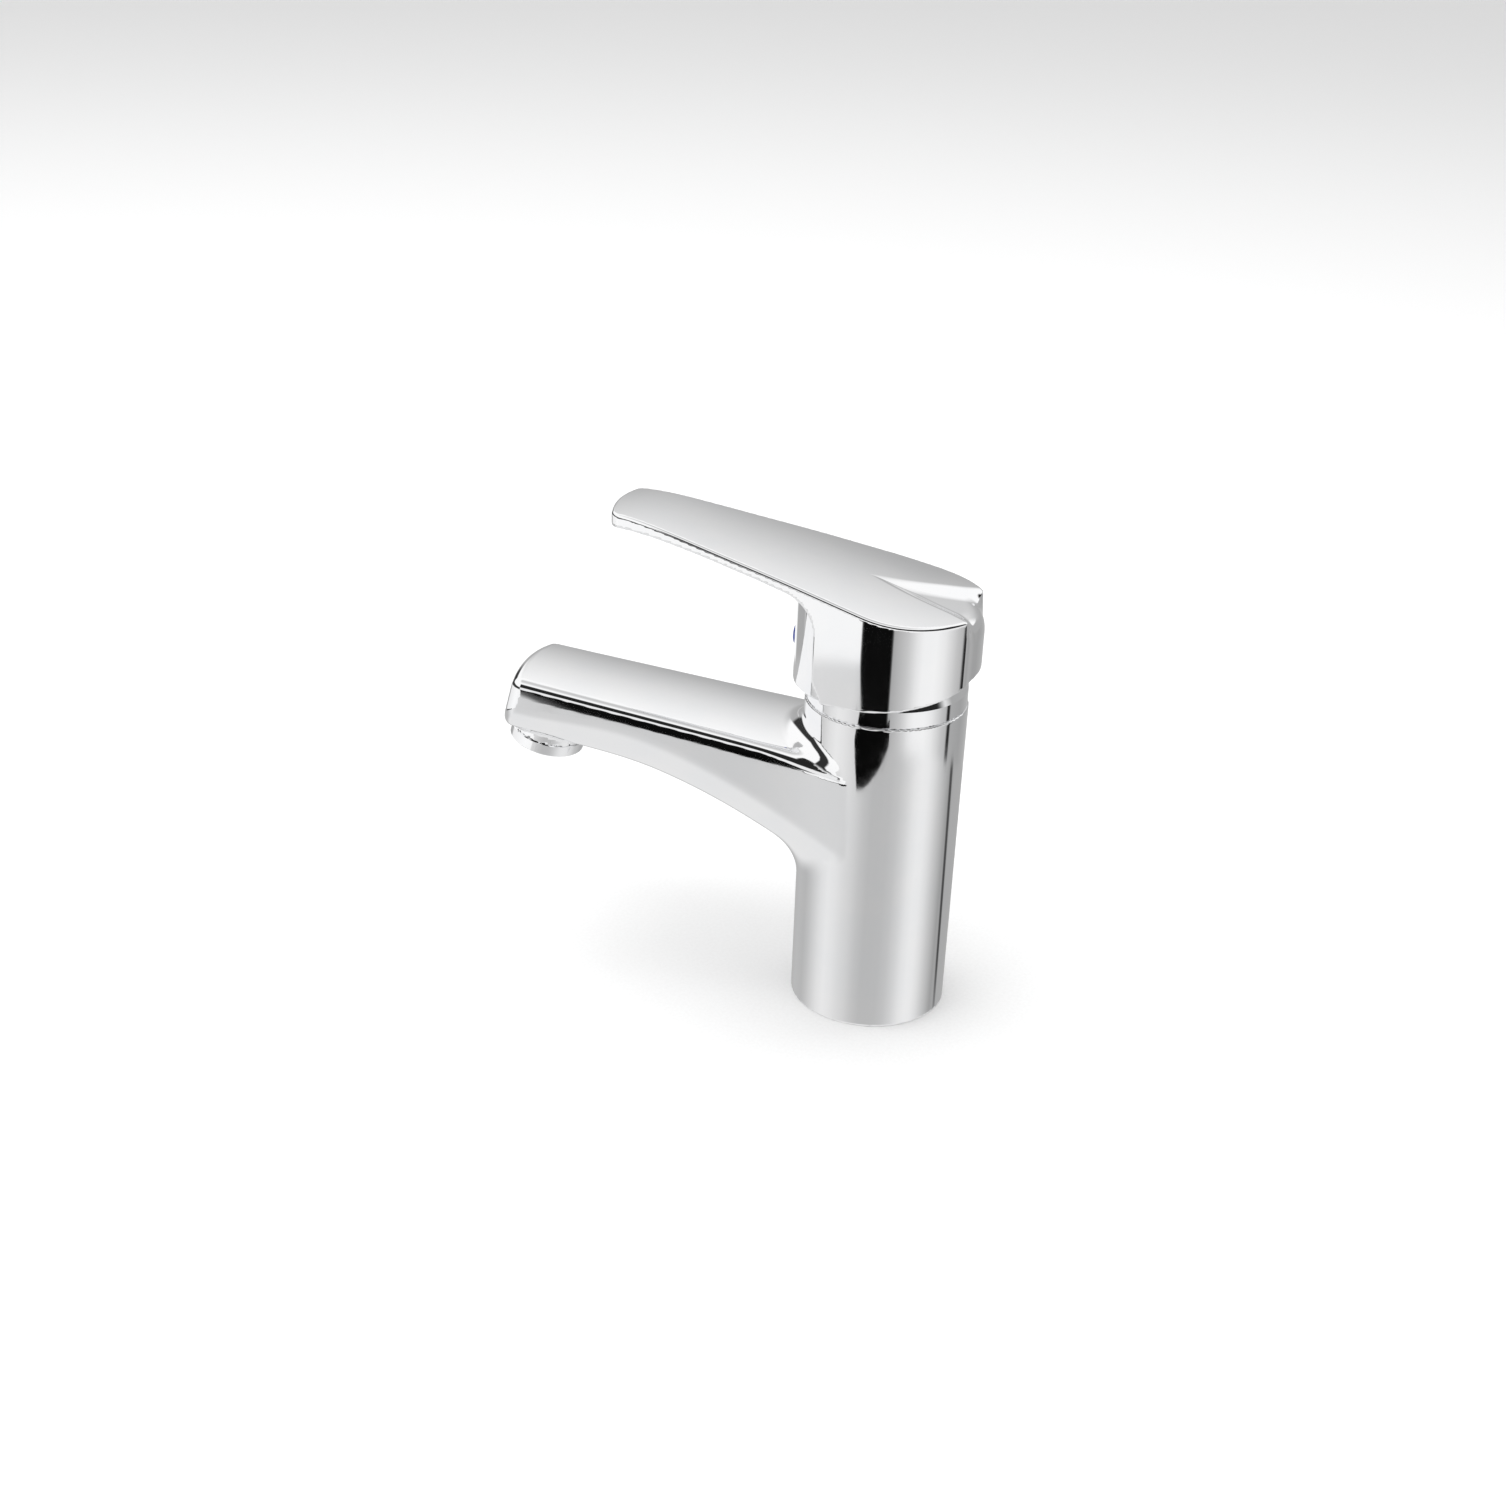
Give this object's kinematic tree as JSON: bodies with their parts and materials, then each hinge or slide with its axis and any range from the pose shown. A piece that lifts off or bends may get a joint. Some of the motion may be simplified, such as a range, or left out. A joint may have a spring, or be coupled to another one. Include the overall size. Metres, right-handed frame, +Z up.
{
  "type": "single lever basin mixer",
  "caption": "Single-lever bathroom basin mixer: upright round body, low spout with a tilted aerator, and a lever that lifts for flow and turns for temperature.",
  "frame": {"origin": "on the axis of the body, in the mounting face that sits on the basin or deck", "axes": "+Z up along the body axis, -Y along the spout towards the user, +X to the left of a user who faces the spout"},
  "size_m": [0.0576, 0.15, 0.1561],
  "materials": {
    "chrome": "polished chrome plate",
    "black_rubber": "moulded nitrile rubber",
    "red_rubber": "moulded silicone rubber",
    "white_plastic": "moulded acetal",
    "grey_plastic": "moulded nylon",
    "ceramic": "lapped alumina ceramic",
    "steel": "stainless steel",
    "brass": "turned brass",
    "index_colours": "moulded button, one half blue and one half red"
  },
  "bodies": {
    "mixer": {"body": "chrome", "base_gasket": "black_rubber", "cartridge_base": "white_plastic", "port_seal_hot": "red_rubber", "port_seal_cold": "red_rubber", "port_seal_mixed": "red_rubber", "fixed_disc": "ceramic", "cartridge_housing": "white_plastic", "neck_seal": "black_rubber", "retaining_nut": "brass", "bonnet_ring": "chrome", "ring_seal": "black_rubber", "aerator_ring": "chrome", "aerator_insert": "white_plastic", "aerator_mesh": "steel", "aerator_washer": "black_rubber"},
    "swivel": {"swivel_guide": "grey_plastic", "pivot_pin": "steel"},
    "lever": {"handle": "chrome", "stem": "brass", "set_screw": "steel", "index_plug": "index_colours"},
    "disc_slider": {"disc_carrier": "grey_plastic", "moving_disc": "ceramic"}
  },
  "joints": [
    {"name": "handle_turn", "type": "hinge", "parent": "mixer", "child": "swivel", "pos_m": [0, 0, 0.104], "axis": [0, 0, 1], "range_deg": [-50, 50]},
    {"name": "handle_lift", "type": "hinge", "parent": "swivel", "child": "lever", "pos_m": [0, 0, 0.104], "axis": [-1, 0, 0], "range_deg": [0, 25]},
    {"name": "disc_slide", "type": "slide", "parent": "swivel", "child": "disc_slider", "axis": [0, 1, 0], "range_m": [-0.0052, 0]}
  ],
  "couplings": [
    {"joint": "disc_slide", "follows": "handle_lift", "m_per_rad": -0.01162}
  ]
}
